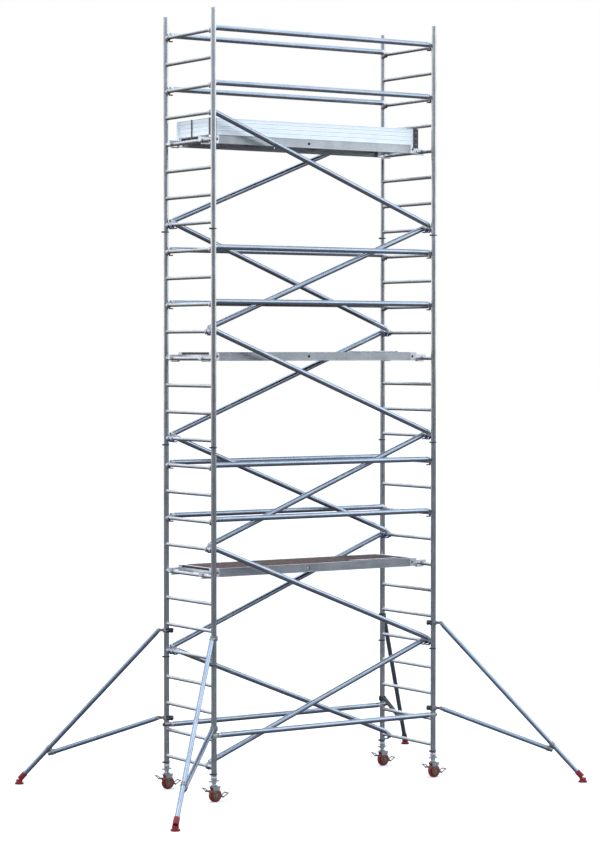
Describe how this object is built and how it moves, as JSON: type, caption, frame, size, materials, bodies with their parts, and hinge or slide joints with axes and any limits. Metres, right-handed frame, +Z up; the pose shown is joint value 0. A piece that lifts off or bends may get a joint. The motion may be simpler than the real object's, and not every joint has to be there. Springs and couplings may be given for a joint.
{
  "type": "mobile scaffold tower",
  "caption": "Tall mobile access tower of ladder end frames, diagonal braces, trapdoor decks, toe boards, castor legs and outrigger stabilisers.",
  "frame": {"origin": "middle of the tower's footprint, on the floor", "axes": "+X along the bay (deck length), +Y across the frames towards the back, +Z up"},
  "size_m": [4.6402, 2.9902, 7.272],
  "materials": {
    "tower_aluminium": "mill-finish aluminium tube, lightly brushed",
    "cast_aluminium": "sand-cast aluminium",
    "galvanised_steel": "galvanised steel",
    "black_plastic": "black moulded plastic",
    "red_plastic": "dark red moulded plastic",
    "blue_plastic": "blue moulded plastic",
    "red_wheel": "red-brown wheel body",
    "red_tyre": "dark red polyurethane tread",
    "red_rubber": "dark red moulded rubber",
    "brake_red": "dark red painted steel",
    "ply": "red-brown anti-slip film faced plywood",
    "deck_aluminium": "extruded aluminium",
    "toe_aluminium": "pale ribbed aluminium",
    "dark_steel": "dark coated steel"
  },
  "bodies": {
    "tower": {"frame_left_1": "tower_aluminium", "frame_left_2": "tower_aluminium", "frame_left_3": "tower_aluminium", "frame_left_4": "tower_aluminium", "frame_right_1": "tower_aluminium", "frame_right_2": "tower_aluminium", "frame_right_3": "tower_aluminium", "frame_right_4": "tower_aluminium", "joint_spigots": "tower_aluminium", "interlock_clips": "black_plastic", "rail_tubes": "tower_aluminium", "diagonal_tubes": "tower_aluminium", "brace_claws": "cast_aluminium", "rail_triggers": "red_plastic", "diagonal_triggers": "blue_plastic", "deck_frames": "deck_aluminium", "deck_boards": "ply", "deck_hooks": "cast_aluminium", "windlocks": "galvanised_steel", "toe_boards": "toe_aluminium", "toe_board_brackets": "dark_steel"},
    "leg_lf": {"castor_stem_lf": "galvanised_steel"},
    "nut_lf": {"leg_nut_lf": "galvanised_steel"},
    "fork_lf": {"castor_fork_lf": "galvanised_steel"},
    "wheel_lf": {"castor_wheel_lf": "red_wheel", "castor_tyre_lf": "red_tyre"},
    "pedal_lf": {"brake_pedal_lf": "brake_red"},
    "stabiliser_lf": {"stab_tubes_lf": "tower_aluminium", "stab_clamps_lf": "galvanised_steel", "stab_foot_lf": "red_rubber"},
    "leg_lb": {"castor_stem_lb": "galvanised_steel"},
    "nut_lb": {"leg_nut_lb": "galvanised_steel"},
    "fork_lb": {"castor_fork_lb": "galvanised_steel"},
    "wheel_lb": {"castor_wheel_lb": "red_wheel", "castor_tyre_lb": "red_tyre"},
    "pedal_lb": {"brake_pedal_lb": "brake_red"},
    "stabiliser_lb": {"stab_tubes_lb": "tower_aluminium", "stab_clamps_lb": "galvanised_steel", "stab_foot_lb": "red_rubber"},
    "leg_rf": {"castor_stem_rf": "galvanised_steel"},
    "nut_rf": {"leg_nut_rf": "galvanised_steel"},
    "fork_rf": {"castor_fork_rf": "galvanised_steel"},
    "wheel_rf": {"castor_wheel_rf": "red_wheel", "castor_tyre_rf": "red_tyre"},
    "pedal_rf": {"brake_pedal_rf": "brake_red"},
    "stabiliser_rf": {"stab_tubes_rf": "tower_aluminium", "stab_clamps_rf": "galvanised_steel", "stab_foot_rf": "red_rubber"},
    "leg_rb": {"castor_stem_rb": "galvanised_steel"},
    "nut_rb": {"leg_nut_rb": "galvanised_steel"},
    "fork_rb": {"castor_fork_rb": "galvanised_steel"},
    "wheel_rb": {"castor_wheel_rb": "red_wheel", "castor_tyre_rb": "red_tyre"},
    "pedal_rb": {"brake_pedal_rb": "brake_red"},
    "stabiliser_rb": {"stab_tubes_rb": "tower_aluminium", "stab_clamps_rb": "galvanised_steel", "stab_foot_rb": "red_rubber"},
    "trapdoor_1": {"trapdoor_1": "ply"},
    "trapdoor_2": {"trapdoor_2": "ply"},
    "trapdoor_3": {"trapdoor_3": "ply"}
  },
  "joints": [
    {"name": "leg_slide_lf", "type": "slide", "parent": "tower", "child": "leg_lf", "axis": [0, 0, 1], "range_m": [-0.2, 0.008]},
    {"name": "nut_turn_lf", "type": "hinge", "parent": "tower", "child": "nut_lf", "pos_m": [-1.25, -0.425, 0.2], "axis": [0, 0, 1], "range_deg": [-375, 9015]},
    {"name": "castor_swivel_lf", "type": "hinge", "parent": "leg_lf", "child": "fork_lf", "pos_m": [-1.25, -0.425, 0.148], "axis": [0, 0, 1], "continuous": true},
    {"name": "wheel_spin_lf", "type": "hinge", "parent": "fork_lf", "child": "wheel_lf", "pos_m": [-1.238, -0.425, 0.0625], "axis": [0, 1, 0], "continuous": true},
    {"name": "brake_rock_lf", "type": "hinge", "parent": "fork_lf", "child": "pedal_lf", "pos_m": [-1.25, -0.425, 0.098], "axis": [0, 1, 0], "range_deg": [0, 6]},
    {"name": "stabiliser_swing_lf", "type": "hinge", "parent": "tower", "child": "stabiliser_lf", "pos_m": [-1.25, -0.425, 1], "axis": [0, 0, 1], "range_deg": [-45, 45]},
    {"name": "leg_slide_lb", "type": "slide", "parent": "tower", "child": "leg_lb", "axis": [0, 0, 1], "range_m": [-0.2, 0.008]},
    {"name": "nut_turn_lb", "type": "hinge", "parent": "tower", "child": "nut_lb", "pos_m": [-1.25, 0.425, 0.2], "axis": [0, 0, 1], "range_deg": [-375, 9015]},
    {"name": "castor_swivel_lb", "type": "hinge", "parent": "leg_lb", "child": "fork_lb", "pos_m": [-1.25, 0.425, 0.148], "axis": [0, 0, 1], "continuous": true},
    {"name": "wheel_spin_lb", "type": "hinge", "parent": "fork_lb", "child": "wheel_lb", "pos_m": [-1.238, 0.425, 0.0625], "axis": [0, 1, 0], "continuous": true},
    {"name": "brake_rock_lb", "type": "hinge", "parent": "fork_lb", "child": "pedal_lb", "pos_m": [-1.25, 0.425, 0.098], "axis": [0, 1, 0], "range_deg": [0, 6]},
    {"name": "stabiliser_swing_lb", "type": "hinge", "parent": "tower", "child": "stabiliser_lb", "pos_m": [-1.25, 0.425, 1], "axis": [0, 0, 1], "range_deg": [-45, 45]},
    {"name": "leg_slide_rf", "type": "slide", "parent": "tower", "child": "leg_rf", "axis": [0, 0, 1], "range_m": [-0.2, 0.008]},
    {"name": "nut_turn_rf", "type": "hinge", "parent": "tower", "child": "nut_rf", "pos_m": [1.25, -0.425, 0.2], "axis": [0, 0, 1], "range_deg": [-375, 9015]},
    {"name": "castor_swivel_rf", "type": "hinge", "parent": "leg_rf", "child": "fork_rf", "pos_m": [1.25, -0.425, 0.148], "axis": [0, 0, 1], "continuous": true},
    {"name": "wheel_spin_rf", "type": "hinge", "parent": "fork_rf", "child": "wheel_rf", "pos_m": [1.262, -0.425, 0.0625], "axis": [0, 1, 0], "continuous": true},
    {"name": "brake_rock_rf", "type": "hinge", "parent": "fork_rf", "child": "pedal_rf", "pos_m": [1.25, -0.425, 0.098], "axis": [0, 1, 0], "range_deg": [0, 6]},
    {"name": "stabiliser_swing_rf", "type": "hinge", "parent": "tower", "child": "stabiliser_rf", "pos_m": [1.25, -0.425, 1], "axis": [0, 0, 1], "range_deg": [-45, 45]},
    {"name": "leg_slide_rb", "type": "slide", "parent": "tower", "child": "leg_rb", "axis": [0, 0, 1], "range_m": [-0.2, 0.008]},
    {"name": "nut_turn_rb", "type": "hinge", "parent": "tower", "child": "nut_rb", "pos_m": [1.25, 0.425, 0.2], "axis": [0, 0, 1], "range_deg": [-375, 9015]},
    {"name": "castor_swivel_rb", "type": "hinge", "parent": "leg_rb", "child": "fork_rb", "pos_m": [1.25, 0.425, 0.148], "axis": [0, 0, 1], "continuous": true},
    {"name": "wheel_spin_rb", "type": "hinge", "parent": "fork_rb", "child": "wheel_rb", "pos_m": [1.262, 0.425, 0.0625], "axis": [0, 1, 0], "continuous": true},
    {"name": "brake_rock_rb", "type": "hinge", "parent": "fork_rb", "child": "pedal_rb", "pos_m": [1.25, 0.425, 0.098], "axis": [0, 1, 0], "range_deg": [0, 6]},
    {"name": "stabiliser_swing_rb", "type": "hinge", "parent": "tower", "child": "stabiliser_rb", "pos_m": [1.25, 0.425, 1], "axis": [0, 0, 1], "range_deg": [-45, 45]},
    {"name": "trapdoor_hinge_1", "type": "hinge", "parent": "tower", "child": "trapdoor_1", "pos_m": [0.68, -0.229, 2.136], "axis": [1, 0, 0], "range_deg": [0, 92]},
    {"name": "trapdoor_hinge_2", "type": "hinge", "parent": "tower", "child": "trapdoor_2", "pos_m": [0.68, -0.229, 4.136], "axis": [1, 0, 0], "range_deg": [0, 92]},
    {"name": "trapdoor_hinge_3", "type": "hinge", "parent": "tower", "child": "trapdoor_3", "pos_m": [0.68, -0.229, 6.136], "axis": [1, 0, 0], "range_deg": [0, 92]}
  ],
  "couplings": [
    {"joint": "nut_turn_lf", "follows": "leg_slide_lf", "rad_per_m": -785.4},
    {"joint": "nut_turn_lb", "follows": "leg_slide_lb", "rad_per_m": -785.4},
    {"joint": "nut_turn_rf", "follows": "leg_slide_rf", "rad_per_m": -785.4},
    {"joint": "nut_turn_rb", "follows": "leg_slide_rb", "rad_per_m": -785.4}
  ]
}
